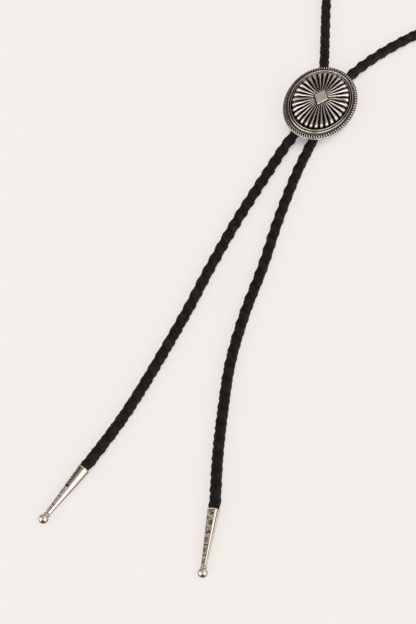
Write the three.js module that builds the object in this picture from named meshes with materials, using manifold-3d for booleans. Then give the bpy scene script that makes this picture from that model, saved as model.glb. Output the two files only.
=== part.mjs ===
import * as THREE from 'three';
import Module from 'manifold-3d';
import { mergeVertices } from 'three/addons/utils/BufferGeometryUtils.js';

// A bolo tie lying on a table: an oval silver slide, a braided leather cord and two metal tips.
// Millimetres, +Z up. The origin is under the middle of the slide, on the table, and +Y runs
// away from the viewer, towards the neck loop.

const fitGap = 0.3;
const tableClearance = 0.05;

// Cord
const cordDiameter = 5.0;
const cordSides = 8;
const cordSteps = 80;
const cordEndDiameter = 3.8;
const cordEndTaper = 0.8;
const cordEndLength = 5.0;
const cordEndSides = 12;

// Clip behind the slide: one flat block with two round channels for the cord
const clipLength = 26.0;
const clipFloor = 0.8;
const clipRoof = 0.8;
const clipSideWall = 0.9;
const clipCorner = 2.0;
const channelSpacing = 8.8;
const channelSides = 24;

// Slide: an oval dome with its long axis turned from +Y
const slideLength = 49.5;
const slideWidth = 37.0;
const slideTurnDegrees = -23.0;
const rimThickness = 1.0;
const rimEdgeLift = 0.3;
const rimEdgeReach = 0.985;
const dishDepth = 1.4;
const seatShare = 0.7;
const domeHeight = 4.0;
const petalCount = 32;
const samplesPerPetal = 5;
const petalDepth = 1.5;
const petalRoundness = 0.45;
const ropeDepth = 0.45;

// Diamond plate in the middle of the dome
const diamondLength = 10.6;
const diamondWidth = 7.3;
const diamondRise = 0.9;
const diamondBevel = 0.3;
const diamondRoot = 1.0;

// Cord tips
const tipLength = 30.0;
const tipMouthDiameter = 5.5;
const tipRimLength = 0.6;
const tipRimStep = 0.12;
const tipWaistDiameter = 2.4;
const tipCollarDiameter = 2.9;
const tipCollarLength = 0.8;
const tipNeckDiameter = 1.9;
const tipBallDiameter = 4.2;
const tipSides = 20;
const tipBallRings = 7;

// Heights of the cord's middle line: lying on the table, climbing to the slide, in the clip's
// channels, and where it enters a tip
const lying = cordDiameter / 2 + tableClearance;
const inChannel = clipFloor + cordDiameter / 2 + fitGap;
const settling = lying + 0.1 * (inChannel - lying);
const rising = lying + 0.4 * (inChannel - lying);
const inMouth = tipMouthDiameter / 2 + tableClearance;

// The cord's route from the left tip, under the slide, round the neck and back to the right tip.
// Each row is x, y and height of its middle line.
const cordRoute = [
  [-112.5, -202.0, inMouth],
  [-109.3, -197.5, inMouth],
  [-94.5, -174.2, lying],
  [-69.1, -124.5, lying],
  [-57.05, -97.8, lying],
  [-43.45, -69.9, lying],
  [-27.5, -40.6, settling],
  [-18.2, -24.3, rising],
  [-9.7, -11.6, inChannel],
  [-6.0, -2.9, inChannel],
  [-2.1, 6.3, inChannel],
  [1.6, 15.1, inChannel],
  [3.8, 30.3, settling],
  [5.5, 53.0, lying],
  [7.4, 77.0, lying],
  [10.5, 99.0, lying],
  [19.0, 119.5, lying],
  [34.0, 135.0, lying],
  [54.0, 142.5, lying],
  [75.0, 141.0, lying],
  [94.5, 131.0, lying],
  [106.0, 114.0, lying],
  [106.5, 93.5, lying],
  [94.0, 76.0, lying],
  [75.2, 62.3, lying],
  [55.25, 51.45, lying],
  [39.75, 41.35, lying],
  [25.7, 30.1, settling],
  [17.3, 21.6, rising],
  [9.7, 11.6, inChannel],
  [6.0, 2.9, inChannel],
  [2.1, -6.3, inChannel],
  [-1.6, -15.1, inChannel],
  [-6.7, -26.2, rising],
  [-13.0, -40.6, settling],
  [-23.5, -69.9, lying],
  [-32.0, -97.8, lying],
  [-41.3, -124.5, lying],
  [-48.1, -149.9, lying],
  [-51.7, -174.2, lying],
  [-54.1, -196.5, lying],
  [-55.43, -218.7, inMouth],
  [-55.8, -220.9, inMouth],
];

// Sizes that follow from the ones above
const cordRadius = cordDiameter / 2;
const channelRadius = cordRadius + fitGap;
const clipHeight = clipFloor + 2 * channelRadius + clipRoof;
const clipWidth = channelSpacing + 2 * (channelRadius + clipSideWall);
const seatHeight = clipHeight + fitGap;
const rimBottom = seatHeight - dishDepth;
const rimTop = rimBottom + rimThickness;
const samplesAround = petalCount * samplesPerPetal;
const slideTurn = THREE.MathUtils.degToRad(slideTurnDegrees);
const tipMouthRadius = tipMouthDiameter / 2;
const tipBallRadius = tipBallDiameter / 2;
const cordEndRadius = cordEndDiameter / 2;
const socketRadius = cordEndRadius + fitGap;

// Patterns around the oval, from 0 in a groove to 1 on a crest
const aroundPattern = {
  plain: () => 1,
  rope: (index) => index % 2,
  petal: (index) => Math.sin((Math.PI * (index % samplesPerPetal)) / samplesPerPetal) ** petalRoundness,
};

// Rings of the slide's face, from the rim inwards. reach is a share of the half width and half
// length, height a share of the dome's height above the rim, and dip a share of the groove's
// depth, which is the petals' or the rope's.
const faceRings = [
  { reach: 1.0, height: 0.0, dip: 0, pattern: 'plain' },
  { reach: 0.99, height: 0.05, dip: 0, pattern: 'plain' },
  { reach: 0.97, height: 0.18, dip: 0.6, pattern: 'rope' },
  { reach: 0.947, height: 0.24, dip: 1, pattern: 'rope' },
  { reach: 0.922, height: 0.18, dip: 0.6, pattern: 'rope' },
  { reach: 0.9, height: 0.05, dip: 0, pattern: 'plain' },
  { reach: 0.864, height: 0.3, dip: 0, pattern: 'plain' },
  { reach: 0.833, height: 0.1, dip: 0, pattern: 'plain' },
  { reach: 0.801, height: 0.31, dip: 0, pattern: 'plain' },
  { reach: 0.782, height: 0.14, dip: 0, pattern: 'plain' },
  { reach: 0.76, height: 0.32, dip: 0.1, pattern: 'petal' },
  { reach: 0.73, height: 0.68, dip: 0.8, pattern: 'petal' },
  { reach: 0.68, height: 0.79, dip: 1, pattern: 'petal' },
  { reach: 0.52, height: 0.83, dip: 0.75, pattern: 'petal' },
  { reach: 0.36, height: 0.9, dip: 0.5, pattern: 'petal' },
  { reach: 0.2, height: 0.97, dip: 0.25, pattern: 'petal' },
];

function solidFrom(wasm, geometry) {
  const bare = geometry.clone();
  bare.deleteAttribute('normal');
  bare.deleteAttribute('uv');
  const merged = mergeVertices(bare, 1e-4);
  const mesh = new wasm.Mesh({
    numProp: 3,
    vertProperties: new Float32Array(merged.attributes.position.array),
    triVerts: new Uint32Array(merged.index.array),
  });
  return new wasm.Manifold(mesh);
}

function geometryFrom(solid) {
  const mesh = solid.getMesh();
  const geometry = new THREE.BufferGeometry();
  geometry.setAttribute('position', new THREE.BufferAttribute(new Float32Array(mesh.vertProperties), 3));
  geometry.setIndex(new THREE.BufferAttribute(new Uint32Array(mesh.triVerts), 1));
  geometry.computeVertexNormals();
  return geometry;
}

function named(name, geometry, look) {
  const mesh = new THREE.Mesh(geometry, new THREE.MeshStandardMaterial(look));
  mesh.name = name;
  return mesh;
}

// A ring is an oval row of points, one for each sample around.
function ovalRing(reach, heightAt) {
  const ring = [];
  for (let index = 0; index < samplesAround; index += 1) {
    const angle = (2 * Math.PI * index) / samplesAround;
    const x = (slideWidth / 2) * reach * Math.cos(angle);
    const y = (slideLength / 2) * reach * Math.sin(angle);
    ring.push([x, y, heightAt(index)]);
  }
  return ring;
}

// Rings run from the middle of the underside, out over the rim, to the middle of the face.
function closedByRings(rings, lowMiddle, highMiddle) {
  const points = [lowMiddle, ...rings.flat(), highMiddle];
  const top = points.length - 1;
  const triangles = [];
  for (let index = 0; index < samplesAround; index += 1) {
    const next = (index + 1) % samplesAround;
    triangles.push(0, 1 + next, 1 + index);
    for (let row = 0; row < rings.length - 1; row += 1) {
      const inner = 1 + row * samplesAround;
      const outer = inner + samplesAround;
      triangles.push(inner + index, inner + next, outer + next);
      triangles.push(inner + index, outer + next, outer + index);
    }
    const last = 1 + (rings.length - 1) * samplesAround;
    triangles.push(last + index, last + next, top);
  }
  const geometry = new THREE.BufferGeometry();
  geometry.setAttribute('position', new THREE.Float32BufferAttribute(points.flat(), 3));
  geometry.setIndex(triangles);
  return geometry;
}

function slideDome() {
  const under = [
    ovalRing(seatShare, () => seatHeight),
    ovalRing((1 + seatShare) / 2, () => rimBottom),
    ovalRing(rimEdgeReach, () => rimBottom),
    ovalRing(1.0, () => rimBottom + rimEdgeLift),
  ];
  const face = faceRings.map(({ reach, height, dip, pattern }) => {
    const depth = pattern === 'rope' ? ropeDepth : petalDepth;
    const crest = rimTop + height * domeHeight;
    return ovalRing(reach, (index) => crest - dip * depth * (1 - aroundPattern[pattern](index)));
  });
  return closedByRings([...under, ...face], [0, 0, seatHeight], [0, 0, rimTop + domeHeight]);
}

function diamondPlate() {
  const outline = new THREE.Shape();
  const halfLength = diamondLength / 2 - diamondBevel;
  const halfWidth = diamondWidth / 2 - diamondBevel;
  outline.moveTo(halfWidth, 0);
  outline.lineTo(0, halfLength);
  outline.lineTo(-halfWidth, 0);
  outline.lineTo(0, -halfLength);
  outline.closePath();
  const plate = new THREE.ExtrudeGeometry(outline, {
    depth: diamondRoot + diamondRise - 2 * diamondBevel,
    bevelSize: diamondBevel,
    bevelThickness: diamondBevel,
    bevelSegments: 1,
  });
  plate.translate(0, 0, rimTop + domeHeight - diamondRoot + diamondBevel);
  return plate;
}

function makeConcho(wasm) {
  const solid = solidFrom(wasm, slideDome()).add(solidFrom(wasm, diamondPlate()));
  const concho = named('concho', geometryFrom(solid), {
    color: 0xaa9b87,
    roughness: 0.32,
    metalness: 1.0,
  });
  concho.rotation.z = slideTurn;
  return concho;
}

function circlePath(x, y, radius, sides) {
  const points = [];
  for (let index = 0; index < sides; index += 1) {
    const angle = (2 * Math.PI * (index + 0.5)) / sides;
    points.push(new THREE.Vector2(x + radius * Math.cos(angle), y + radius * Math.sin(angle)));
  }
  return new THREE.Path(points);
}

function makeBackClip() {
  const half = clipWidth / 2;
  const outline = new THREE.Shape();
  outline.moveTo(-half + clipCorner, 0);
  outline.lineTo(half - clipCorner, 0);
  outline.absarc(half - clipCorner, clipCorner, clipCorner, -Math.PI / 2, 0);
  outline.absarc(half - clipCorner, clipHeight - clipCorner, clipCorner, 0, Math.PI / 2);
  outline.absarc(-half + clipCorner, clipHeight - clipCorner, clipCorner, Math.PI / 2, Math.PI);
  outline.absarc(-half + clipCorner, clipCorner, clipCorner, Math.PI, 1.5 * Math.PI);
  for (const side of [-1, 1]) {
    const centreX = (side * channelSpacing) / 2;
    const centreY = clipFloor + channelRadius;
    outline.holes.push(circlePath(centreX, centreY, channelRadius, channelSides));
  }
  const block = new THREE.ExtrudeGeometry(outline, {
    depth: clipLength,
    bevelEnabled: false,
    curveSegments: 4,
  });
  block.rotateX(Math.PI / 2);
  block.translate(0, clipLength / 2, 0);
  const clip = named('back_clip', block, { color: 0xb8b4ac, roughness: 0.35, metalness: 1.0 });
  clip.rotation.z = slideTurn;
  return clip;
}

// Where a tip starts: the middle of its mouth, and the way from there to its ball. The tip lies
// on the table along its rim and its ball.
function tipPlaces(curve) {
  const ends = [
    { name: 'tip_left', share: 0, outward: -1 },
    { name: 'tip_right', share: 1, outward: 1 },
  ];
  return ends.map(({ name, share, outward }) => {
    const end = curve.getPoint(share);
    const heading = curve.getTangent(share).multiplyScalar(outward).setZ(0).normalize();
    const run = tipLength - tipBallRadius;
    const drop = end.z - tipBallRadius - tableClearance / 2;
    const along = heading.multiplyScalar(run).setZ(-drop).normalize();
    const mouth = end.clone().addScaledVector(along, fitGap);
    return { name, end, along, mouth };
  });
}

function turnedTo(geometry, along, start) {
  const turn = new THREE.Quaternion().setFromUnitVectors(new THREE.Vector3(0, 1, 0), along);
  geometry.applyQuaternion(turn);
  geometry.translate(start.x, start.y, start.z);
  return geometry;
}

function makeCord(wasm, curve, tips) {
  const section = new THREE.Shape();
  for (let index = 0; index < cordSides; index += 1) {
    const angle = (2 * Math.PI * index) / cordSides;
    const x = cordRadius * Math.cos(angle);
    const y = cordRadius * Math.sin(angle);
    if (index === 0) section.moveTo(x, y);
    else section.lineTo(x, y);
  }
  section.closePath();
  const tube = new THREE.ExtrudeGeometry(section, {
    steps: cordSteps,
    extrudePath: curve,
    bevelEnabled: false,
  });
  let solid = solidFrom(wasm, tube);
  for (const { end, along } of tips) {
    const length = cordRadius + fitGap + cordEndLength;
    const farRadius = cordEndRadius - cordEndTaper / 2;
    const stub = new THREE.CylinderGeometry(farRadius, cordEndRadius, length, cordEndSides);
    stub.translate(0, length / 2 - cordRadius, 0);
    solid = solid.add(solidFrom(wasm, turnedTo(stub, along, end)));
  }
  return named('braided_cord', geometryFrom(solid), {
    color: 0x1f1d1b,
    roughness: 0.6,
    metalness: 0.0,
  });
}

// The tip's outline, along its axis from the bottom of its socket, round the mouth, to the ball.
function tipProfile() {
  const collarEnd = tipLength - tipBallDiameter;
  const collarStart = collarEnd - tipCollarLength;
  const waist = collarStart - tipCollarLength;
  const bodyRadius = tipMouthRadius - tipRimStep;
  const socketDepth = cordEndLength + 2 * fitGap;
  const rows = [
    { at: socketDepth, radius: 0 },
    { at: socketDepth, radius: socketRadius - cordEndTaper / 2 },
    { at: 0, radius: socketRadius },
    { at: 0, radius: tipMouthRadius },
    { at: tipRimLength, radius: tipMouthRadius },
    { at: tipRimLength + tipRimStep, radius: bodyRadius },
    { at: waist / 3, radius: bodyRadius - 0.3 * (bodyRadius - tipWaistDiameter / 2) },
    { at: (2 * waist) / 3, radius: bodyRadius - 0.64 * (bodyRadius - tipWaistDiameter / 2) },
    { at: waist, radius: tipWaistDiameter / 2 },
    { at: waist + 0.35 * tipCollarLength, radius: tipNeckDiameter / 2 },
    { at: collarStart, radius: tipNeckDiameter / 2 },
    { at: collarStart + 0.2 * tipCollarLength, radius: tipCollarDiameter / 2 },
    { at: collarEnd - 0.2 * tipCollarLength, radius: tipCollarDiameter / 2 },
  ];
  const points = rows.map(({ at, radius }) => new THREE.Vector2(radius, at));
  const ballStart = Math.asin(tipNeckDiameter / tipBallDiameter);
  for (let ring = 0; ring <= tipBallRings; ring += 1) {
    const angle = ballStart + ((Math.PI - ballStart) * ring) / tipBallRings;
    const radius = ring === tipBallRings ? 0 : tipBallRadius * Math.sin(angle);
    points.push(new THREE.Vector2(radius, tipLength - tipBallRadius - tipBallRadius * Math.cos(angle)));
  }
  return points;
}

function makeTip({ name, along, mouth }) {
  const turned = turnedTo(new THREE.LatheGeometry(tipProfile(), tipSides), along, mouth);
  return named(name, turned, { color: 0xc8bda8, roughness: 0.15, metalness: 1.0 });
}

const wasm = await Module();
wasm.setup();

const routePoints = cordRoute.map(([x, y, height]) => new THREE.Vector3(x, y, height));
const cordCurve = new THREE.CatmullRomCurve3(routePoints, false, 'centripetal');
const tips = tipPlaces(cordCurve);

const boloTie = new THREE.Group();
boloTie.add(makeConcho(wasm));
boloTie.add(makeBackClip());
boloTie.add(makeCord(wasm, cordCurve, tips));
for (const tip of tips) boloTie.add(makeTip(tip));

export default boloTie;
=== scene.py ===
import math

import bmesh
import bpy
import numpy as np
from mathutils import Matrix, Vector


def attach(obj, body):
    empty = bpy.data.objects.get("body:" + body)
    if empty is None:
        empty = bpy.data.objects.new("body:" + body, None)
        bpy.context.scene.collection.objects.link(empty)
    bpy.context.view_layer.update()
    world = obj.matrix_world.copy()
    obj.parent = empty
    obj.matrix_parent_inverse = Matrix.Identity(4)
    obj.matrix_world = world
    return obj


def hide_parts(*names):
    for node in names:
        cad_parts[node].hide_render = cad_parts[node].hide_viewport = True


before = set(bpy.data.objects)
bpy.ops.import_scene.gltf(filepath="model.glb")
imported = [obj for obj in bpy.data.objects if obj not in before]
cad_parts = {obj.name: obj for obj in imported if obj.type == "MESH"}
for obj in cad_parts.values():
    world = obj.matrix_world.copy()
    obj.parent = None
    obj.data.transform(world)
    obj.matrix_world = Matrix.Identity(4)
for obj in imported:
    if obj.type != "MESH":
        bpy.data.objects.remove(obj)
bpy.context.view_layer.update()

mm = 0.001
scene = bpy.context.scene


# Camera: where the cord's width and braid put it in the photograph
view = {
    "place": (-0.0583, -0.4054, 0.4919),
    "lookAt": (-0.0583, -0.1214, 0.0),
    "focalPixels": 1200.0,
    "framePixels": 624,
    "sensor": 36.0,
    "farthest": 400.0,
}


def addCamera():
    data = bpy.data.cameras.new("photoCamera")
    data.sensor_fit = "VERTICAL"
    data.sensor_height = view["sensor"]
    data.lens = view["focalPixels"] * view["sensor"] / view["framePixels"]
    data.clip_end = view["farthest"]
    camera = bpy.data.objects.new("photoCamera", data)
    camera.location = view["place"]
    gaze = Vector(view["lookAt"]) - Vector(view["place"])
    camera.rotation_euler = gaze.to_track_quat("-Z", "Y").to_euler()
    scene.collection.objects.link(camera)
    scene.camera = camera


addCamera()
print("camera placed")


# Small tools that every piece uses
def ease(x, low, high):
    t = np.clip((x - low) / (high - low), 0.0, 1.0)
    return t * t * (3.0 - 2.0 * t)


def curveThrough(table, x):
    # A smooth line through (station, value) pairs, with no overshoot
    at = np.array([row[0] for row in table], float)
    value = np.array([row[1] for row in table], float)
    step = np.diff(at)
    rise = np.diff(value) / step
    slope = np.zeros(len(at))
    slope[0], slope[-1] = rise[0], rise[-1]
    for i in range(1, len(at) - 1):
        if rise[i - 1] * rise[i] > 0:
            slope[i] = 2.0 * rise[i - 1] * rise[i] / (rise[i - 1] + rise[i])
    k = np.clip(np.searchsorted(at, x, side="right") - 1, 0, len(step) - 1)
    t = np.clip((x - at[k]) / step[k], 0.0, 1.0)
    h = step[k]
    return (
        (2 * t**3 - 3 * t**2 + 1) * value[k]
        + (t**3 - 2 * t**2 + t) * h * slope[k]
        + (3 * t**2 - 2 * t**3) * value[k + 1]
        + (t**3 - t**2) * h * slope[k + 1]
    )


def unit(v):
    return v / np.linalg.norm(v, axis=-1, keepdims=True)


def wrappedQuads(rows, columns, first=0):
    # Quads between closed rows of points that follow each other
    i = np.arange(rows - 1)[:, None] * columns
    j = np.arange(columns)[None, :]
    k = (j + 1) % columns
    quads = np.stack([i + j, i + k, i + columns + k, i + columns + j], axis=-1)
    return (quads.reshape(-1, 4) + first).tolist()


def fan(centre, ring, flip=False):
    faces = [(centre, ring[i], ring[(i + 1) % len(ring)]) for i in range(len(ring))]
    return [face[::-1] for face in faces] if flip else faces


def closedFaces(rows, columns):
    # The quads of closed rows with a fan at each end; the two poles are the last points
    count = rows * columns
    faces = wrappedQuads(rows, columns)
    faces += fan(count, list(range(columns)), flip=True)
    faces += fan(count + 1, list(range(count - columns, count)))
    return faces


def addPiece(name, points, faces, masks=None, smooth=True):
    # points in metres; masks are named values from 0 to 1, one a point
    mesh = bpy.data.meshes.new(name)
    mesh.from_pydata([tuple(p) for p in points.tolist()], [], faces)
    for maskName, values in (masks or {}).items():
        layer = mesh.attributes.new(maskName, "FLOAT", "POINT")
        layer.data.foreach_set("value", np.asarray(values, dtype=np.float32))
    work = bmesh.new()
    work.from_mesh(mesh)
    bmesh.ops.recalc_face_normals(work, faces=work.faces)
    work.to_mesh(mesh)
    work.free()
    mesh.polygons.foreach_set("use_smooth", [smooth] * len(mesh.polygons))
    piece = bpy.data.objects.new(name, mesh)
    scene.collection.objects.link(piece)
    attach(piece, "root")
    return piece


# Cord: four flat leather laces in a round braid, from tip to tip; skew slants the braid and twist
# turns it, both by share of the cord's length
cord = {
    "diameter": 5.0,
    "laceWidth": 4.5,
    "laceThickness": 1.4,
    "layLength": 14.6,
    "laceMiddle": 1.74,
    "laceSwing": 0.52,
    "stepsPerLay": 20,
    "sectionPoints": 14,
    "squareness": 2.7,
    "hug": 0.10,
    "hugRise": 0.12,
    "endLength": 4.0,
    "endNarrowing": 0.88,
    "narrowRun": 2.0,
    "channelNarrowing": 0.91,
    "lowest": 0.02,
    "skew": ((0.0, 1.2), (0.25, 1.2), (0.35, 0.0), (0.68, 0.0), (0.78, 1.65), (1.0, 1.65)),
    "twist": ((0.0, 0.3), (0.25, 1.2), (0.42, 0.2), (0.62, 0.0), (0.8, 1.3), (1.0, 0.6)),
}
# Heights of the cord's middle along its route, which is in mm
lying = 2.55
settling = 2.655
rising = 2.97
inChannel = 3.6
inMouth = 2.8
cordRoute = [
    (-112.5, -202.0, inMouth),
    (-109.3, -197.5, inMouth),
    (-94.5, -174.2, lying),
    (-69.1, -124.5, lying),
    (-57.05, -97.8, lying),
    (-43.45, -69.9, lying),
    (-27.5, -40.6, settling),
    (-18.2, -24.3, rising),
    (-9.7, -11.6, inChannel),
    (-6.0, -2.9, inChannel),
    (-2.1, 6.3, inChannel),
    (1.6, 15.1, inChannel),
    (3.8, 30.3, settling),
    (5.5, 53.0, lying),
    (7.4, 77.0, lying),
    (10.5, 99.0, lying),
    (19.0, 119.5, lying),
    (34.0, 135.0, lying),
    (54.0, 142.5, lying),
    (75.0, 141.0, lying),
    (94.5, 131.0, lying),
    (106.0, 114.0, lying),
    (106.5, 93.5, lying),
    (94.0, 76.0, lying),
    (75.2, 62.3, lying),
    (55.25, 51.45, lying),
    (39.75, 41.35, lying),
    (25.7, 30.1, settling),
    (17.3, 21.6, rising),
    (9.7, 11.6, inChannel),
    (6.0, 2.9, inChannel),
    (2.1, -6.3, inChannel),
    (-1.6, -15.1, inChannel),
    (-6.7, -26.2, rising),
    (-13.0, -40.6, settling),
    (-23.5, -69.9, lying),
    (-32.0, -97.8, lying),
    (-41.3, -124.5, lying),
    (-48.1, -149.9, lying),
    (-51.7, -174.2, lying),
    (-54.1, -196.5, lying),
    (-55.43, -218.7, inMouth),
    (-55.8, -220.9, inMouth),
]


def routeLine(points, perSpan=24):
    # The smooth curve that the route's points stand for
    p = np.array(points, float)
    p = np.vstack([2 * p[0] - p[1], p, 2 * p[-1] - p[-2]])
    line = []
    for i in range(1, len(p) - 2):
        a, b, c, d = p[i - 1 : i + 3]
        t1 = np.linalg.norm(b - a) ** 0.5
        t2 = t1 + np.linalg.norm(c - b) ** 0.5
        t3 = t2 + np.linalg.norm(d - c) ** 0.5
        for t in np.linspace(t1, t2, perSpan, endpoint=False):
            ab = ((t1 - t) * a + t * b) / t1
            bc = ((t2 - t) * b + (t - t1) * c) / (t2 - t1)
            cd = ((t3 - t) * c + (t - t2) * d) / (t3 - t2)
            abc = ((t2 - t) * ab + t * bc) / t2
            bcd = ((t3 - t) * bc + (t - t1) * cd) / (t3 - t1)
            line.append(((t2 - t) * abc + (t - t1) * bcd) / (t2 - t1))
    line.append(p[-2])
    return np.array(line)


def evenly(line, step):
    run = np.r_[0.0, np.cumsum(np.linalg.norm(np.diff(line, axis=0), axis=1))]
    at = np.linspace(0.0, run[-1], int(round(run[-1] / step)) + 1)
    return at, np.stack([np.interp(at, run, line[:, k]) for k in range(3)], axis=1)


def alongTrack(places, run, track):
    return np.stack([np.interp(places, run, track[:, k]) for k in range(track.shape[1])], axis=1)


cordLine = routeLine(cordRoute)

# Tips: their sizes are needed here too, because the cord ends in their sockets
tip = {
    "length": 30.0,
    "mouthRadius": 2.75,
    "rimLength": 0.4,
    "rimStep": 0.12,
    "socketRadius": 2.62,
    "socketDepth": 5.6,
    "waistRadius": 1.2,
    "neckRadius": 0.95,
    "collarRadius": 1.45,
    "collarLength": 0.5,
    "ballRadius": 2.1,
    "samplesAround": 144,
    "bodyRows": 196,
    "mouthRows": 12,
    "panelMiddle": {"tip_left": 50.0, "tip_right": 54.0},
    "panelHalfWidth": 50.0,
    "panelStart": 0.6,
    "panelEnd": 24.7,
    "groundTarnish": {"tip_left": 1.0, "tip_right": 0.93},
    # Patina: the right tip's engraved panel is a little darker
    "panelPatina": {"tip_left": 0.0, "tip_right": 0.12},
    "relief": 0.14,
    # Painted shade: the tips' lower flanks and the balls' undersides are browned
    "flankShadeStart": {"tip_left": (0.28, 0.5), "tip_right": (0.0, 0.2)},
    "ballUnderShade": (0.34, 0.58),
    # Painted dark reflection: a dark spot on each ball's near side
    "darkReflectionSide": (0.0, -0.829, 0.559),
    "darkReflectionEdge": (0.87, 0.95),
    "darkReflectionStrength": 0.9,
    "gap": 0.3,
    "restClearance": 0.025,
}


def tipPlace(end, before):
    # Where a tip's mouth is, and the way along it, to its left and up
    heading = end - before
    heading[2] = 0.0
    heading = unit(heading)
    run = tip["length"] - tip["ballRadius"]
    along = heading * run
    along[2] = -(end[2] - tip["ballRadius"] - tip["restClearance"])
    along = unit(along)
    up = unit(np.array([0.0, 0.0, 1.0]) - along * along[2])
    mouth = end + along * tip["gap"]
    return {"end": end, "mouth": mouth, "along": along, "up": up, "left": np.cross(along, up)}


tipPlaces = {
    "tip_left": tipPlace(cordLine[0].copy(), cordLine[1].copy()),
    "tip_right": tipPlace(cordLine[-1].copy(), cordLine[-2].copy()),
}


def braidedLaces():
    first = tipPlaces["tip_left"]
    last = tipPlaces["tip_right"]
    inside = cord["endLength"]
    whole = np.vstack([
        first["end"] + first["along"] * inside,
        cordLine,
        last["end"] + last["along"] * inside,
    ])
    step = cord["layLength"] / cord["stepsPerLay"]
    run, middle = evenly(whole, step)
    ahead = unit(np.gradient(middle, axis=0))
    up = unit(np.array([0.0, 0.0, 1.0]) - ahead * ahead[:, 2:3])
    side = np.cross(ahead, up)
    share = run / run[-1]
    fromEnd = np.minimum(run, run[-1] - run)
    widened = ease(fromEnd, inside, inside + cord["narrowRun"])
    narrow = cord["endNarrowing"] + (1 - cord["endNarrowing"]) * widened
    narrow = narrow - (1 - cord["channelNarrowing"]) * ease(middle[:, 2], rising, inChannel)
    turn = 2 * math.pi * run / cord["layLength"]
    twist = curveThrough(cord["twist"], share)
    skew = curveThrough(cord["skew"], share)
    angles = np.linspace(0, 2 * math.pi, cord["sectionPoints"], endpoint=False)
    power = 2.0 / cord["squareness"]
    across = np.sign(np.cos(angles)) * np.abs(np.cos(angles)) ** power
    through = np.sign(np.sin(angles)) * np.abs(np.sin(angles)) ** power
    points, faces, crests = [], [], []
    for lace in range(4):
        hand = 1 if lace < 2 else -1
        phase = math.pi * (lace % 2)
        theta = hand * turn + phase + twist
        over = hand * np.cos(2 * turn)
        out = (cord["laceMiddle"] + cord["laceSwing"] * over) * narrow
        shifted = run + skew * np.cos(theta)
        sideHere, upHere, middleHere = (alongTrack(shifted, run, track) for track in (side, up, middle))
        radial = unit(np.cos(theta)[:, None] * sideHere + np.sin(theta)[:, None] * upHere)
        centre = middleHere + out[:, None] * radial
        along = unit(np.gradient(centre, axis=0))
        normal = unit(radial - along * (radial * along).sum(1, keepdims=True))
        wide = np.cross(along, normal)
        u = across[None, :] * (cord["laceWidth"] / 2) * narrow[:, None]
        hug = (cord["hug"] + cord["hugRise"] * ease(over, -0.6, 0.8))[:, None]
        v = through[None, :] * (cord["laceThickness"] / 2) * narrow[:, None] - hug * u**2
        ring = centre[:, None] + u[..., None] * wide[:, None] + v[..., None] * normal[:, None]
        base = sum(len(p) for p in points)
        points.append(ring.reshape(-1, 3))
        faces += wrappedQuads(len(run), cord["sectionPoints"], base)
        faces.append(list(range(base, base + cord["sectionPoints"])))
        lastRing = base + (len(run) - 1) * cord["sectionPoints"]
        faces.append(list(range(lastRing, lastRing + cord["sectionPoints"])))
        crest = ease(through[None, :] * np.ones((len(run), 1)), -0.2, 0.9) * ease(over, -0.3, 0.9)[:, None]
        crests.append(crest.reshape(-1))
    points = np.vstack(points)
    points[:, 2] = np.maximum(points[:, 2], cord["lowest"])
    return points * mm, faces, np.concatenate(crests), middle


lacePoints, laceFaces, laceCrests, laceMiddle = braidedLaces()
braid = addPiece("braid_laces", lacePoints, laceFaces, {"crest": laceCrests})
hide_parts("braided_cord")


# Slide: the cast oval with its rope border, wire rings, petals and diamond plate; its tables go by
# reach, 0 in the middle and 1 at the edge, and their heights count from the rim's top
concho = {
    "halfWidth": 18.5,
    "halfLength": 24.75,
    "turn": -23.0,
    "rimBottom": 6.1,
    "rimTop": 7.1,
    "seat": 7.5,
    "seatReach": 0.7,
    "samplesAround": 828,
    "petals": 32,
    "petalEnd": 0.772,
    "petalBulb": 0.715,
    "petalStart": 0.15,
    "petalShine": (0.46, 0.86),
    "ringShine": (0.1, 0.5),
    "ropeLinks": 92,
    "ropeMiddle": 0.949,
    "ropeHalf": 0.043,
    "ropeHeight": 1.05,
    "ropeBow": -3.2,
    "linkEdge": (0.05, 0.8),
    "linkShine": (0.42, 0.9),
    "linkFoot": 0.15,
    "edgeTarnish": 0.15,
    "backTarnish": 0.3,
    "plateMoat": (1.12, 1.28),
    # Painted shade: the rope and rim are darkened on the left side
    "sideShadeTurn": 190.0,
    "sideShadeEdge": (0.25, 0.85),
    "sideShade": 0.6,
    "rings": ((0.8625, 0.0185, 1.1), (0.8015, 0.0135, 1.0)),  # reach, half width, height
    "floor": (
        (0.0, 3.85), (0.12, 3.8), (0.18, 3.5), (0.3, 3.0), (0.5, 2.2), (0.66, 1.2), (0.72, 0.65),
        (0.77, 0.42), (0.835, 0.32), (0.895, 0.12), (0.985, 0.12), (0.995, 0.03), (1.0, -0.12),
    ),
    "petalRise": (
        (0.15, 0.0), (0.2, 0.42), (0.3, 0.75), (0.5, 1.15), (0.62, 1.85), (0.7, 2.4), (0.78, 2.6),
    ),
    "petalWidth": ((0.15, 0.55), (0.3, 0.5), (0.5, 0.52), (0.62, 0.62), (0.7, 0.81), (0.78, 0.82)),
}


# Diamond: a low pyramid plate with rounded edges; rows are share of its outline, height above the
# table, tarnish
diamond = {
    "halfWidth": 3.65,
    "halfLength": 5.3,
    "foot": 10.2,
    "samplesAround": 96,
    "squareness": 1.03,
    "rows": (
        (0.05, 12.0, 0.0), (0.5, 11.93, 0.0), (0.88, 11.85, 0.0), (0.95, 11.78, 0.0),
        (0.985, 11.68, 0.0), (1.0, 11.5, 0.0), (1.01, 11.1, 0.0), (1.015, 10.75, 0.5), (1.02, 10.2, 1.0),
    ),
}


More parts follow.
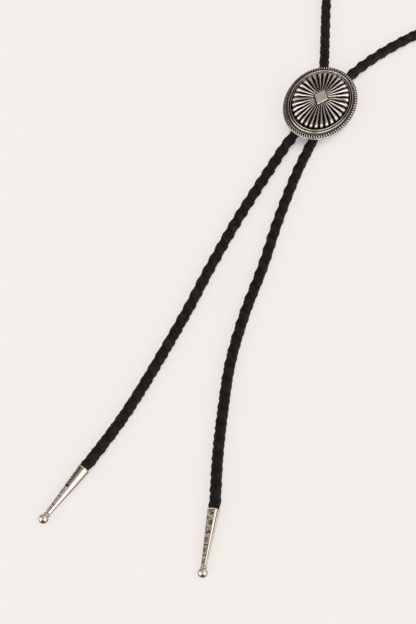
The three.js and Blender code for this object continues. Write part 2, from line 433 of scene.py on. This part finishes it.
def conchoReaches():
    def span(high, low, count):
        return np.linspace(high, low, count, endpoint=False)

    rope = concho["ropeMiddle"], concho["ropeHalf"]
    (ringA, halfA, _), (ringB, halfB, _) = concho["rings"]
    bulb, end = concho["petalBulb"], concho["petalEnd"]
    return np.concatenate([
        [1.0, 0.998, 0.995, 0.991],
        span(rope[0] + rope[1] + 0.002, rope[0] - rope[1], 17),
        span(rope[0] - rope[1], ringA + halfA, 4),
        ringA + halfA * np.cos(np.linspace(0, math.pi, 10)),
        span(ringA - halfA - 0.005, ringB + halfB, 4),
        ringB + halfB * np.cos(np.linspace(0, math.pi, 10)),
        span(ringB - halfB - 0.006, end, 4),
        bulb + (end - bulb) * np.cos(np.linspace(0, math.pi / 2, 10)),
        span(bulb - 0.01, 0.3, 15),
        span(0.3, concho["petalStart"], 9),
        [0.15, 0.12, 0.08, 0.04],
    ])


def conchoRelief(reach, angle):
    # Height above the rim, and how dark the old silver is there: patina in the hollows, and painted shade on
    # the rim's left side
    height = curveThrough(concho["floor"], reach)
    dark = ease(reach, 0.13, 0.2) * (1 - ease(reach, 0.9, 0.905)) * np.ones_like(height)
    for middle, half, rise in concho["rings"]:
        bulge = np.sqrt(np.clip(1 - ((reach - middle) / half) ** 2, 0, 1))
        height = height + rise * bulge
        dark = dark * (1 - ease(bulge, *concho["ringShine"]))
    rho = (reach - concho["ropeMiddle"]) / concho["ropeHalf"]
    body = np.sqrt(np.clip(1 - rho**2, 0, 1))
    wave = np.cos(concho["ropeLinks"] * angle + concho["ropeBow"] * np.abs(rho) ** 1.5)
    link = ease(wave, *concho["linkEdge"])
    height = height + concho["ropeHeight"] * body * (concho["linkFoot"] + (1 - concho["linkFoot"]) * link)
    ropeDark = np.maximum(1 - ease(link, *concho["linkShine"]), ease(-rho, 0.55, 0.8))
    dark = np.where(body > 0, ropeDark, dark)
    dark = np.where(reach > concho["ropeMiddle"] + concho["ropeHalf"], concho["edgeTarnish"], dark)
    # Painted shade, darker towards the left side of the rope and rim
    sideShade = concho["sideShade"] * ease(np.cos(angle - math.radians(concho["sideShadeTurn"])), *concho["sideShadeEdge"])
    dark = np.maximum(dark, sideShade * ease(reach, 0.885, 0.91))
    u = 2 * ((angle * concho["petals"] / (2 * math.pi)) % 1.0) - 1
    end = np.clip((reach - concho["petalBulb"]) / (concho["petalEnd"] - concho["petalBulb"]), 0, 1)
    width = curveThrough(concho["petalWidth"], reach)
    crown = np.clip(1 - np.abs(u / width) ** 2.0 - end**2, 0, 1) ** 0.5
    isPetal = (reach > concho["petalStart"]) & (reach < concho["petalEnd"])
    height = height + np.where(isPetal, curveThrough(concho["petalRise"], reach) * crown, 0)
    dark = np.where(isPetal, dark * (1 - ease(crown, *concho["petalShine"])), dark)
    besidePlate = np.abs(reach * concho["halfWidth"] * np.cos(angle)) / diamond["halfWidth"]
    besidePlate = besidePlate + np.abs(reach * concho["halfLength"] * np.sin(angle)) / diamond["halfLength"]
    return height, np.maximum(dark, 1 - ease(besidePlate, *concho["plateMoat"]))


def turned(points, degrees):
    c, s = math.cos(math.radians(degrees)), math.sin(math.radians(degrees))
    x, y, z = points[:, 0], points[:, 1], points[:, 2]
    return np.stack([c * x - s * y, s * x + c * y, z], axis=1)


def conchoBody():
    count = concho["samplesAround"]
    angle = np.linspace(0, 2 * math.pi, count, endpoint=False)[None, :]
    reach = conchoReaches()[:, None]
    lift, dark = conchoRelief(reach * np.ones_like(angle), angle * np.ones_like(reach))
    ovalX = concho["halfWidth"] * np.cos(angle)
    ovalY = concho["halfLength"] * np.sin(angle)
    face = np.stack([reach * ovalX, reach * ovalY, concho["rimTop"] + lift], axis=-1)
    back = []
    seat, low = concho["seat"], concho["rimBottom"]
    backRows = (
        (concho["seatReach"], seat), (concho["seatReach"] + 0.02, seat - 0.1),
        (0.83, low + 0.1), (0.85, low), (0.975, low), (0.99, low + 0.08),
        (1.0, low + 0.3), (1.002, concho["rimTop"] - 0.4),
    )
    for share, z in backRows:
        back.append(np.stack([share * ovalX[0], share * ovalY[0], np.full(count, z)], axis=-1))
    rows = np.concatenate([np.array(back), face])
    darkRows = np.concatenate([np.full((len(back), count), concho["backTarnish"]), dark])
    top = concho["rimTop"] + concho["floor"][0][1]
    points = np.vstack([rows.reshape(-1, 3), [[0, 0, concho["seat"]], [0, 0, top]]])
    masks = np.r_[darkRows.reshape(-1), concho["backTarnish"], 0.0]
    return points, closedFaces(len(rows), count), masks


def diamondBody():
    count = diamond["samplesAround"]
    angle = np.linspace(0, 2 * math.pi, count, endpoint=False)
    power = 2.0 / diamond["squareness"]
    x = diamond["halfWidth"] * np.sign(np.cos(angle)) * np.abs(np.cos(angle)) ** power
    y = diamond["halfLength"] * np.sign(np.sin(angle)) * np.abs(np.sin(angle)) ** power
    rows = [np.stack([s * x, s * y, np.full(count, z)], axis=1) for s, z, _ in diamond["rows"]]
    masks = [np.full(count, dark) for _, _, dark in diamond["rows"]]
    points = np.vstack([*rows, [[0, 0, diamond["rows"][0][1] + 0.01], [0, 0, diamond["foot"]]]])
    return points, closedFaces(len(rows), count), np.r_[np.concatenate(masks), 0.0, 1.0]


bodyPoints, bodyFaces, bodyMask = conchoBody()
platePoints, plateFaces, plateMask = diamondBody()
plateFaces = [[i + len(bodyPoints) for i in face] for face in plateFaces]
slidePiece = addPiece(
    "concho_silver",
    turned(np.vstack([bodyPoints, platePoints]), concho["turn"]) * mm,
    bodyFaces + plateFaces,
    {"tarnishAndShade": np.r_[bodyMask, plateMask]},
)
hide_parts("concho")
print(f"slide modelled, {len(bodyFaces)} faces")


# Clip: the plain block with two channels behind the slide, its edges softened
clip = {
    "length": 26.0,
    "height": 7.2,
    "halfWidth": 8.1,
    "corner": 2.0,
    "channelX": 4.4,
    "channelZ": 3.6,
    "channelRadius": 2.8,
    "softening": 0.25,
}


def splineOf(curve, outline):
    spline = curve.splines.new("POLY")
    spline.points.add(len(outline) - 1)
    for point, (x, y) in zip(spline.points, outline):
        point.co = (x * mm, y * mm, 0, 1)
    spline.use_cyclic_u = True


def arc(cx, cy, radius, start, stop, steps):
    turns = [math.radians(start + (stop - start) * i / steps) for i in range(steps + 1)]
    return [(cx + radius * math.cos(a), cy + radius * math.sin(a)) for a in turns]


def clipPiece():
    curve = bpy.data.curves.new("clipOutline", "CURVE")
    curve.dimensions = "2D"
    curve.fill_mode = "BOTH"
    curve.extrude = (clip["length"] / 2 - clip["softening"]) * mm
    curve.bevel_depth = clip["softening"] * mm
    curve.bevel_resolution = 3
    curve.offset = -clip["softening"] * mm
    x, r = clip["halfWidth"] - clip["corner"], clip["corner"]
    low, high = r, clip["height"] - r
    outline = arc(x, low, r, -90, 0, 8) + arc(x, high, r, 0, 90, 8)
    outline += arc(-x, high, r, 90, 180, 8) + arc(-x, low, r, 180, 270, 8)
    splineOf(curve, outline)
    for side in (-1, 1):
        splineOf(curve, arc(side * clip["channelX"], clip["channelZ"], clip["channelRadius"], 0, 352.5, 47))
    draft = bpy.data.objects.new("clipDraft", curve)
    scene.collection.objects.link(draft)
    flat = bpy.data.meshes.new_from_object(draft.evaluated_get(bpy.context.evaluated_depsgraph_get()))
    points = np.array([v.co[:] for v in flat.vertices])
    faces = [list(p.vertices) for p in flat.polygons]
    bpy.data.objects.remove(draft)
    bpy.data.curves.remove(curve)
    bpy.data.meshes.remove(flat)
    upright = np.stack([points[:, 0], -points[:, 2], points[:, 1]], axis=1)
    piece = addPiece("clip_block", turned(upright, concho["turn"]), faces, smooth=False)
    work = bmesh.new()
    work.from_mesh(piece.data)
    bmesh.ops.remove_doubles(work, verts=work.verts, dist=0.002 * mm)
    bmesh.ops.recalc_face_normals(work, faces=work.faces)
    work.to_mesh(piece.data)
    work.free()
    return piece


clipBlock = clipPiece()
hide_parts("back_clip")
print("clip modelled")


# Engraving of a tip: t runs along it in mm, q across the panel from -1 to 1, w is its half width
engraving = {
    "scrolls": {  # t, q, radius, hand
        "tip_left": tuple(
            (1.4 + 0.62 * i, -0.4 + 0.5 * (i % 2), 0.62 - 0.14 * (i % 2), 1 - 2 * (i % 2))
            for i in range(14)
        ),
        "tip_right": (
            (2.0, -0.3, 1.35, 1), (4.2, 0.25, 1.3, -1), (6.4, -0.25, 1.25, 1), (8.7, 0.15, 1.35, -1),
            (1.2, 0.62, 0.5, -1), (3.0, 0.66, 0.5, 1), (5.2, -0.6, 0.55, 1), (7.5, 0.6, 0.5, 1),
            (10.1, -0.4, 0.5, 1),
        ),
    },
    "coilPitch": 0.75,
    "hatchStart": {"tip_left": 0.45, "tip_right": 0.8},
    "hatchPitch": 0.42,
    "hatchEnd": (10.0, 10.6),
    "borderEnd": (10.2, 10.5),
    "plates": (  # start, end, half width
        (11.1, 15.8, 0.88), (16.4, 20.3, 0.84), (20.9, 22.1, 0.84), (22.5, 24.7, 0.8),
    ),
    "plateShine": {"tip_left": (1.0, 1.0, 1.0, 1.0), "tip_right": (0.62, 0.6, 1.0, 0.5)},
    "sunk": ((12.7, 15.0, 0.6), (17.3, 19.5, 0.5), (23.0, 24.3, 0.45)),
}


def plateAt(t, q, start, end, half):
    along = ease(t, start - 0.08, start + 0.08) * (1 - ease(t, end - 0.08, end + 0.08))
    return along * (1 - ease(np.abs(q), half - 0.05, half + 0.05))


def tipEngraving(node, t, q, w):
    # How raised the silver is inside the panel, from 0 in the dark ground to 1 on a crest
    raised = np.zeros_like(t)
    for place, across, radius, hand in engraving["scrolls"][node]:
        dx, dy = t - place, (q - across) * w
        r = np.hypot(dx, dy)
        arm = (r / engraving["coilPitch"] - hand * np.arctan2(dy, dx) / (2 * math.pi)) % 1.0
        coil = 1 - ease(np.abs(arm - 0.5), 0.2, 0.32)
        raised = np.maximum(raised, coil * (1 - ease(r, radius - 0.1, radius + 0.1)))
    for (start, end, half), shine in zip(engraving["plates"], engraving["plateShine"][node]):
        raised = np.maximum(raised, shine * plateAt(t, q, start, end, half))
    for start, end, half in engraving["sunk"]:
        raised = raised * (1 - 0.5 * plateAt(t, q, start, end, half))
    hatch = 0.5 + 0.5 * np.cos(2 * math.pi * (t + 0.3 * q * w) / engraving["hatchPitch"])
    start = engraving["hatchStart"][node]
    hatch = (0.25 + 0.25 * hatch) * ease(q, start, start + 0.1) * (1 - ease(t, *engraving["hatchEnd"]))
    border = 1 - ease(np.abs(np.abs(q) - 0.96) * w, 0.04, 0.1)
    border = border * (1 - ease(t, *engraving["borderEnd"]))
    return np.maximum(np.maximum(raised, hatch), border)


def tipRows():
    # Rows of t, radius and tarnish from the socket's bottom, round the mouth and down to the ball
    r0, rim = tip["mouthRadius"], tip["rimLength"]
    ballMiddle = tip["length"] - tip["ballRadius"]
    collarEnd = tip["length"] - 2 * tip["ballRadius"]
    collarStart = collarEnd - tip["collarLength"]
    waist = collarStart - tip["collarLength"]
    body = r0 - tip["rimStep"]
    rows = [
        (tip["socketDepth"], 1.2, 1.0), (tip["socketDepth"] - 0.1, 1.9, 1.0),
        (0.5, tip["socketRadius"], 0.9), (0.08, tip["socketRadius"] + 0.02, 0.4),
        (0.0, tip["socketRadius"] + 0.05, 0.5), (0.0, r0 - 0.04, 0.5), (0.02, r0 - 0.01, 0.4),
        (0.08, r0, 0.35), (rim - 0.1, r0, 0.35), (rim - 0.02, r0 - 0.03, 0.5),
        (rim + 0.06, body - 0.01, 0.5), (rim + 0.15, body, 0.0),
    ]
    outline = ((rim + 0.15, body), (8.0, 2.24), (16.0, 1.72), (waist, tip["waistRadius"]))
    for t in np.linspace(rim + 0.25, waist, tip["bodyRows"]):
        rows.append((t, float(curveThrough(outline, np.array([t]))[0]), 0.0))
    neck, collar = tip["neckRadius"], tip["collarRadius"]
    rows += [
        (waist + 0.1, tip["waistRadius"] - 0.06, 0.1), (waist + 0.2, neck, 0.8),
        (collarStart - 0.1, neck, 0.9), (collarStart, collar - 0.15, 0.6), (collarStart + 0.12, collar, 0.3),
        (collarEnd - 0.14, collar, 0.3), (collarEnd - 0.04, collar - 0.15, 0.6),
    ]
    for a in np.linspace(math.asin(0.5), math.pi - 0.06, 26):
        rows.append((ballMiddle - tip["ballRadius"] * math.cos(a), tip["ballRadius"] * math.sin(a), 0.0))
    return np.array(rows)


def tipPiece(name, node):
    place = tipPlaces[node]
    rows = tipRows()
    count = tip["samplesAround"]
    t = rows[:, :1] * np.ones((1, count))
    radius = rows[:, 1:2] * np.ones((1, count))
    dark = rows[:, 2:3] * np.ones((1, count))
    phi = np.linspace(0, 2 * math.pi, count, endpoint=False)[None, :]
    half = math.radians(tip["panelHalfWidth"])
    q = (phi - math.radians(tip["panelMiddle"][node]) + math.pi) % (2 * math.pi) - math.pi
    q = q / half * np.ones_like(t)
    raised = tipEngraving(node, t, q, half * radius)
    row = np.arange(len(rows))[:, None]
    start, end = tip["panelStart"], tip["panelEnd"]
    inBody = (row >= tip["mouthRows"]) & (t > start) & (t < end + 0.1)
    inPanel = np.where(inBody, 1 - ease(np.abs(q), 0.97, 1.03), 0.0)
    inPanel = inPanel * ease(t, start, start + 0.15) * (1 - ease(t, end - 0.2, end))
    radius = radius - tip["relief"] * inPanel * (1 - raised)
    dark = np.maximum(dark, inPanel * tip["groundTarnish"][node] * (1 - ease(raised, 0.1, 0.9)))
    around = np.cos(phi)[..., None] * place["left"] + np.sin(phi)[..., None] * place["up"]
    points = place["mouth"] + t[..., None] * place["along"] + radius[..., None] * around
    poles = [place["mouth"] + place["along"] * s for s in (tip["socketDepth"], tip["length"])]
    # Painted shade: brown on the tips' lower flanks and the balls' undersides, with a little patina on the
    # engraved panel, and a painted dark reflection as a spot low on the ball
    onBall = t > tip["length"] - 2 * tip["ballRadius"]
    beyond = (t - tip["length"] + tip["ballRadius"]) / tip["ballRadius"]
    facing = around * (radius / tip["ballRadius"])[..., None] + beyond[..., None] * place["along"]
    # Painted dark reflection on the ball's near side
    darkReflection = facing @ np.array(tip["darkReflectionSide"])
    dark = np.maximum(dark, np.where(onBall, tip["darkReflectionStrength"] * ease(darkReflection, *tip["darkReflectionEdge"]), 0.0))
    bodyShadeAndPatina = 1 - ease(np.sin(phi) * np.ones_like(t), *tip["flankShadeStart"][node])
    bodyShadeAndPatina = np.maximum(bodyShadeAndPatina, tip["panelPatina"][node] * inPanel)
    shadeAndPatina = np.where(onBall, 1 - ease(facing[..., 2], *tip["ballUnderShade"]), bodyShadeAndPatina)
    masks = {"tarnishAndShade": np.r_[dark.reshape(-1), 1.0, 0.0], "shadeAndPatina": np.r_[shadeAndPatina.reshape(-1), 1.0, 1.0]}
    points = np.vstack([points.reshape(-1, 3), *poles])
    return addPiece(name, points * mm, closedFaces(len(rows), count), masks)


tipPieces = {}
for node, pieceName in (("tip_left", "tip_left_silver"), ("tip_right", "tip_right_silver")):
    piece = tipPiece(pieceName, node)
    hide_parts(node)
    tipPieces[node] = piece
print("tips modelled")


# Shader helpers
def newNode(tree, kind, **settings):
    node = tree.nodes.new("ShaderNode" + kind)
    for key, value in settings.items():
        setattr(node, key, value)
    return node


def join(tree, out, into):
    tree.links.new(out, into)


def newGroup(name, inputs, outputs):
    group = bpy.data.node_groups.new(name, "ShaderNodeTree")
    for label, kind, value in inputs:
        socket = group.interface.new_socket(label, in_out="INPUT", socket_type="NodeSocket" + kind)
        socket.default_value = value
    for label, kind in outputs:
        group.interface.new_socket(label, in_out="OUTPUT", socket_type="NodeSocket" + kind)
    return group, group.nodes.new("NodeGroupInput"), group.nodes.new("NodeGroupOutput")


def mathNode(tree, operation, a, b=None, clamp=False):
    node = newNode(tree, "Math", operation=operation, use_clamp=clamp)
    for socket, value in zip(node.inputs, (a, b)):
        if hasattr(value, "is_linked"):
            join(tree, value, socket)
        elif value is not None:
            socket.default_value = value
    return node.outputs[0]


def scaled(tree, value, factor):
    return mathNode(tree, "MULTIPLY", value, factor)


def noiseNode(tree, scale, detail=3.0, roughness=0.5, place=None):
    noise = newNode(tree, "TexNoise")
    noise.inputs["Detail"].default_value = detail
    noise.inputs["Roughness"].default_value = roughness
    if hasattr(scale, "is_linked"):
        join(tree, scale, noise.inputs["Scale"])
    else:
        noise.inputs["Scale"].default_value = scale
    if place is None:
        place = newNode(tree, "TexCoord").outputs["Object"]
    join(tree, place, noise.inputs["Vector"])
    return noise.outputs["Fac"]


def rampBetween(tree, value, low, high):
    node = newNode(tree, "MapRange", interpolation_type="SMOOTHSTEP")
    join(tree, value, node.inputs["Value"])
    node.inputs["From Min"].default_value = low
    node.inputs["From Max"].default_value = high
    return node.outputs["Result"]


def mixColors(tree, share, a, b, blend="MIX"):
    node = newNode(tree, "Mix", data_type="RGBA", blend_type=blend)
    for socket, value in ((node.inputs[0], share), (node.inputs[6], a), (node.inputs[7], b)):
        if hasattr(value, "is_linked"):
            join(tree, value, socket)
        else:
            socket.default_value = value
    return node.outputs[2]


# Old silver: bright where it is rubbed, blackened in its grooves and where shade is painted, browned by
# painted shade and by patina, with hazy patches and fine scratches
silverLook = {
    "bright": (0.84, 0.81, 0.77, 1),
    "black": (0.005, 0.0045, 0.004, 1),
    "hazeColor": (0.52, 0.42, 0.31, 1),
    # Brown of the painted shade on the tips and of the patina on a panel
    "shadeAndPatinaBrown": (0.4, 0.28, 0.15, 1),
    "edgeTint": (0.5, 0.42, 0.32, 1),
    "specular": 0.15,
    "patchScale": 260.0,
    "speckScale": 1500.0,
    "scratchScale": 5200.0,
    "scratchStretch": (1.0, 0.12, 1.0),
    "pitScale": 1100.0,
    "bumpDepth": 0.00004,
}


def makeSilverGroup():
    group, into, out = newGroup(
        "oldSilver",
        [
            ("Bright", "Color", silverLook["bright"]), ("Black", "Color", silverLook["black"]),
            ("Tarnishandshade", "Float", 0.0), ("Shadeandpatina", "Float", 0.0),
            ("Polish", "Float", 0.2), ("Haze", "Float", 0.3),
        ],
        [("Color", "Color"), ("Roughness", "Float"), ("Metallic", "Float"), ("Height", "Float")],
    )
    patches = rampBetween(group, noiseNode(group, silverLook["patchScale"], 4.0, 0.6), 0.42, 0.68)
    specks = rampBetween(group, noiseNode(group, silverLook["speckScale"], 2.0, 0.6), 0.56, 0.72)
    worn = mathNode(group, "MULTIPLY", patches, into.outputs["Haze"])
    spotted = mathNode(group, "MULTIPLY", specks, scaled(group, into.outputs["Haze"], 0.5))
    # The dark mask is patina in hollows and engraving, plus painted shade on the slide's left rim and
    # painted dark reflections on the balls
    dark = mathNode(group, "ADD", into.outputs["Tarnishandshade"], scaled(group, spotted, 0.4), clamp=True)
    warm = mixColors(group, worn, into.outputs["Bright"], silverLook["hazeColor"])
    # Browning that is painted shade on the tips' flanks and undersides, and patina on the right tip's panel
    browned = mixColors(group, into.outputs["Shadeandpatina"], warm, silverLook["shadeAndPatinaBrown"], "MULTIPLY")
    join(group, mixColors(group, dark, browned, into.outputs["Black"]), out.inputs["Color"])
    rough = mathNode(group, "ADD", into.outputs["Polish"], scaled(group, worn, 0.25))
    rough = mathNode(group, "ADD", rough, scaled(group, dark, 0.35), clamp=True)
    join(group, rough, out.inputs["Roughness"])
    metallic = mathNode(group, "SUBTRACT", 1.0, scaled(group, dark, 0.92))
    join(group, metallic, out.inputs["Metallic"])
    stretch = newNode(group, "Mapping")
    join(group, newNode(group, "TexCoord").outputs["Object"], stretch.inputs["Vector"])
    stretch.inputs["Scale"].default_value = silverLook["scratchStretch"]
    scratches = noiseNode(group, silverLook["scratchScale"], 2.0, 0.5, stretch.outputs["Vector"])
    pits = noiseNode(group, silverLook["pitScale"], 4.0, 0.65)
    height = mathNode(group, "ADD", scaled(group, scratches, 0.35), scaled(group, pits, 0.65))
    join(group, height, out.inputs["Height"])
    return group


# Leather grain: small pebbles, pores and slow wear
leatherLook = {
    "dye": (0.0049, 0.0044, 0.0038, 1),
    "rubbed": (0.019, 0.0178, 0.0154, 1),
    "grain": 2600.0,
    "wearScale": 190.0,
    "specular": 0.12,
    "bumpDepth": 0.00012,
}


def makeLeatherGroup():
    group, into, out = newGroup(
        "leatherGrain",
        [
            ("Dye", "Color", leatherLook["dye"]), ("Rubbed", "Color", leatherLook["rubbed"]),
            ("Crest", "Float", 0.0), ("Grain", "Float", leatherLook["grain"]),
        ],
        [("Color", "Color"), ("Roughness", "Float"), ("Height", "Float")],
    )
    cells = newNode(group, "TexVoronoi", feature="F1")
    join(group, newNode(group, "TexCoord").outputs["Object"], cells.inputs["Vector"])
    join(group, into.outputs["Grain"], cells.inputs["Scale"])
    creases = noiseNode(group, scaled(group, into.outputs["Grain"], 0.4), 5.0, 0.6)
    fade = rampBetween(group, noiseNode(group, leatherLook["wearScale"], 3.0, 0.55), 0.35, 0.7)
    wear = mathNode(group, "ADD", scaled(group, fade, 0.7), 0.25)
    rubbed = mathNode(group, "MULTIPLY", into.outputs["Crest"], wear)
    mottled = mathNode(group, "ADD", rubbed, scaled(group, creases, 0.25), clamp=True)
    join(group, mixColors(group, mottled, into.outputs["Dye"], into.outputs["Rubbed"]), out.inputs["Color"])
    rough = mathNode(group, "SUBTRACT", 0.62, scaled(group, rubbed, 0.16))
    rough = mathNode(group, "ADD", rough, scaled(group, creases, 0.1))
    join(group, rough, out.inputs["Roughness"])
    pebbles = mathNode(group, "SUBTRACT", 1.0, cells.outputs["Distance"])
    height = mathNode(group, "ADD", scaled(group, pebbles, 0.5), scaled(group, creases, 0.8))
    join(group, height, out.inputs["Height"])
    return group


# Paper: a plain sheet with faint fibres
def makePaperGroup():
    group, into, out = newGroup(
        "paperGrain",
        [("Sheet", "Color", (0.25, 0.25, 0.25, 1)), ("Fibre", "Color", (0.23, 0.23, 0.23, 1))],
        [("Color", "Color"), ("Height", "Float")],
    )
    fibres = noiseNode(group, 900.0, 5.0, 0.6)
    join(group, mixColors(group, fibres, into.outputs["Sheet"], into.outputs["Fibre"]), out.inputs["Color"])
    join(group, fibres, out.inputs["Height"])
    return group


silverGroup = makeSilverGroup()
leatherGroup = makeLeatherGroup()
paperGroup = makePaperGroup()


def newMaterial(name):
    material = bpy.data.materials.new(name)
    material.use_nodes = True
    tree = material.node_tree
    return material, tree, tree.nodes["Principled BSDF"]


def placeGroup(tree, group, values, masks=()):
    node = tree.nodes.new("ShaderNodeGroup")
    node.node_tree = group
    for label, value in values.items():
        node.inputs[label].default_value = value
    for maskName in masks:
        mask = newNode(tree, "Attribute", attribute_name=maskName)
        join(tree, mask.outputs["Fac"], node.inputs[maskName.capitalize()])
    return node


def addBump(tree, height, shader, strength, distance):
    bump = newNode(tree, "Bump")
    bump.inputs["Strength"].default_value = strength
    bump.inputs["Distance"].default_value = distance
    join(tree, height, bump.inputs["Height"])
    join(tree, bump.outputs["Normal"], shader.inputs["Normal"])


def silverMaterial(name, values, bumpStrength, masks=("tarnishAndShade",)):
    material, tree, shader = newMaterial(name)
    silver = placeGroup(tree, silverGroup, values, masks)
    join(tree, silver.outputs["Color"], shader.inputs["Base Color"])
    shader.inputs["Specular Tint"].default_value = silverLook["edgeTint"]
    shader.inputs["Specular IOR Level"].default_value = silverLook["specular"]
    join(tree, silver.outputs["Roughness"], shader.inputs["Roughness"])
    join(tree, silver.outputs["Metallic"], shader.inputs["Metallic"])
    addBump(tree, silver.outputs["Height"], shader, bumpStrength, silverLook["bumpDepth"])
    return material


def leatherMaterial():
    material, tree, shader = newMaterial("blackLeather")
    leather = placeGroup(tree, leatherGroup, {}, ("crest",))
    join(tree, leather.outputs["Color"], shader.inputs["Base Color"])
    join(tree, leather.outputs["Roughness"], shader.inputs["Roughness"])
    shader.inputs["Specular IOR Level"].default_value = leatherLook["specular"]
    addBump(tree, leather.outputs["Height"], shader, 0.5, leatherLook["bumpDepth"])
    return material


slideValues = {"Polish": 0.12, "Haze": 0.5}
clipValues = {"Bright": (0.6, 0.58, 0.54, 1), "Tarnishandshade": 0.03, "Polish": 0.3, "Haze": 0.25}
tipValues = {
    "Bright": (0.88, 0.83, 0.76, 1),
    "Black": (0.026, 0.015, 0.01, 1),
    "Polish": 0.08,
    "Haze": 0.12,
}
slidePiece.data.materials.append(silverMaterial("antiqueSilver", slideValues, 0.25))
clipBlock.data.materials.append(silverMaterial("nickelPlate", clipValues, 0.3, ()))
tipSilver = silverMaterial("polishedSilver", tipValues, 0.12, ("tarnishAndShade", "shadeAndPatina"))
for piece in tipPieces.values():
    piece.data.materials.append(tipSilver)
braid.data.materials.append(leatherMaterial())
print("materials made")


# Table and room: bright on the near side, left and right, tan on the far side, dark low down there
studio = {
    "tableReach": 100.0,
    "tableMiddle": 1.5,
    "backdropColor": (0.905, 0.863, 0.831, 1),
    # Painted light: the sheet's glow, and a dimmer glow as painted shadow where things stand over it
    "tableGlow": (0.7, 0.667, 0.642, 1),
    "tableShade": (0.29, 0.28, 0.274, 1),
    "shadeReach": 0.014,
    "shadeEdge": (0.1, 0.54),
    "tableColor": (0.242, 0.2454, 0.2571, 1),
    "tableFibre": (0.234, 0.2374, 0.2491, 1),
    "farColor": (0.476, 0.41, 0.324, 1),
    "ceilingColor": (0.514, 0.442, 0.349, 1),
    "creamColor": (1.1, 1.02, 0.92, 1),
    "wallColor": (1.5, 1.48, 1.46, 1),
    "nearColor": (2.6, 2.56, 2.52, 1),
    "gapColor": (0.1, 0.07, 0.045, 1),
    "darkColor": (0.03, 0.025, 0.02, 1),
}


def addTable():
    reach, middle = studio["tableReach"], studio["tableMiddle"]
    lines = (-reach, -middle, middle, reach)
    corners = [(x, y, 0) for y in lines for x in lines]
    quads = [(i, i + 1, i + 5, i + 4) for i in (0, 1, 2, 4, 5, 6, 8, 9, 10)]
    mesh = bpy.data.meshes.new("table")
    mesh.from_pydata(corners, [], quads)
    table = bpy.data.objects.new("table", mesh)
    scene.collection.objects.link(table)
    material, tree, shader = newMaterial("palePaper")
    paper = placeGroup(tree, paperGroup, {"Sheet": studio["tableColor"], "Fibre": studio["tableFibre"]})
    join(tree, paper.outputs["Color"], shader.inputs["Base Color"])
    addBump(tree, paper.outputs["Height"], shader, 0.05, 0.00003)
    shader.inputs["Roughness"].default_value = 0.9
    shader.inputs["Specular IOR Level"].default_value = 0.0
    # Painted light: the sheet glows, as a light table would, which keeps its shadows pale; the glow is
    # dimmer where things stand close over it, a painted shadow mostly below the slide
    under = newNode(tree, "AmbientOcclusion", samples=8)
    under.inputs["Distance"].default_value = studio["shadeReach"]
    openness = rampBetween(tree, under.outputs["AO"], *studio["shadeEdge"])
    glow = mixColors(tree, openness, studio["tableShade"], studio["tableGlow"])
    join(tree, glow, shader.inputs["Emission Color"])
    shader.inputs["Emission Strength"].default_value = 1.0
    mesh.materials.append(material)


def addRoom():
    world = bpy.data.worlds.new("room")
    world.use_nodes = True
    tree = world.node_tree
    split = newNode(tree, "SeparateXYZ")
    join(tree, newNode(tree, "TexCoord").outputs["Generated"], split.inputs[0])
    x, y, z = split.outputs

    def above(value, low, high):
        return rampBetween(tree, value, low, high)

    def below(value, low, high):
        return mathNode(tree, "SUBTRACT", 1.0, above(value, low, high))

    def times(*shares):
        product = shares[0]
        for share in shares[1:]:
            product = mathNode(tree, "MULTIPLY", product, share)
        return product

    def most(*shares):
        largest = shares[0]
        for share in shares[1:]:
            largest = mathNode(tree, "MAXIMUM", largest, share)
        return largest

    west = times(x, -1.0)
    near = times(y, -1.0)
    cream = times(above(x, 0.42, 0.6), below(y, 0.65, 0.8))
    rightWall = times(above(x, 0.35, 0.45), below(y, -0.05, 0.15))
    leftWall = times(above(west, 0.5, 0.66), below(y, 0.0, 0.25))
    nearWall = times(above(near, 0.53, 0.7), above(z, 0.1, 0.25))
    farLeft = times(above(west, 0.15, 0.5), above(y, 0.1, 0.4), below(z, 0.35, 0.65), 0.85)
    lessRight = below(times(above(x, 0.5, 0.7), 0.55), 0.0, 1.0)
    farLow = times(below(z, 0.03, 0.3), above(y, 0.1, 0.45), lessRight)
    nearLow = times(below(z, 0.12, 0.25), above(near, 0.65, 0.85))
    rightLow = times(above(x, 0.7, 0.85), below(z, 0.3, 0.5), above(y, -0.15, 0.05), 0.95)
    # The dark gap between the two near windows, wider low down
    aside = mathNode(tree, "ABSOLUTE", x)
    wideGap = below(mathNode(tree, "ADD", aside, times(z, 1.4)), 0.66, 0.8)
    thinGap = times(below(aside, 0.1, 0.24), below(z, 0.78, 0.92), 0.85)
    gap = times(above(near, 0.0, 0.2), most(wideGap, thinGap))
    color = mixColors(tree, above(z, 0.78, 0.96), studio["farColor"], studio["ceilingColor"])
    color = mixColors(tree, cream, color, studio["creamColor"])
    color = mixColors(tree, most(rightWall, leftWall), color, studio["wallColor"])
    color = mixColors(tree, nearWall, color, studio["nearColor"])
    color = mixColors(tree, gap, color, studio["gapColor"])
    color = mixColors(tree, most(farLeft, farLow, nearLow, rightLow), color, studio["darkColor"])
    # Seen past the table's edge, the room is as pale as the sheet
    seen = newNode(tree, "LightPath").outputs["Is Camera Ray"]
    color = mixColors(tree, seen, color, studio["backdropColor"])
    background = tree.nodes["Background"]
    join(tree, color, background.inputs["Color"])
    scene.world = world


addTable()
addRoom()
scene.view_settings.view_transform = "Standard"
scene.view_settings.look = "None"
print("light set")
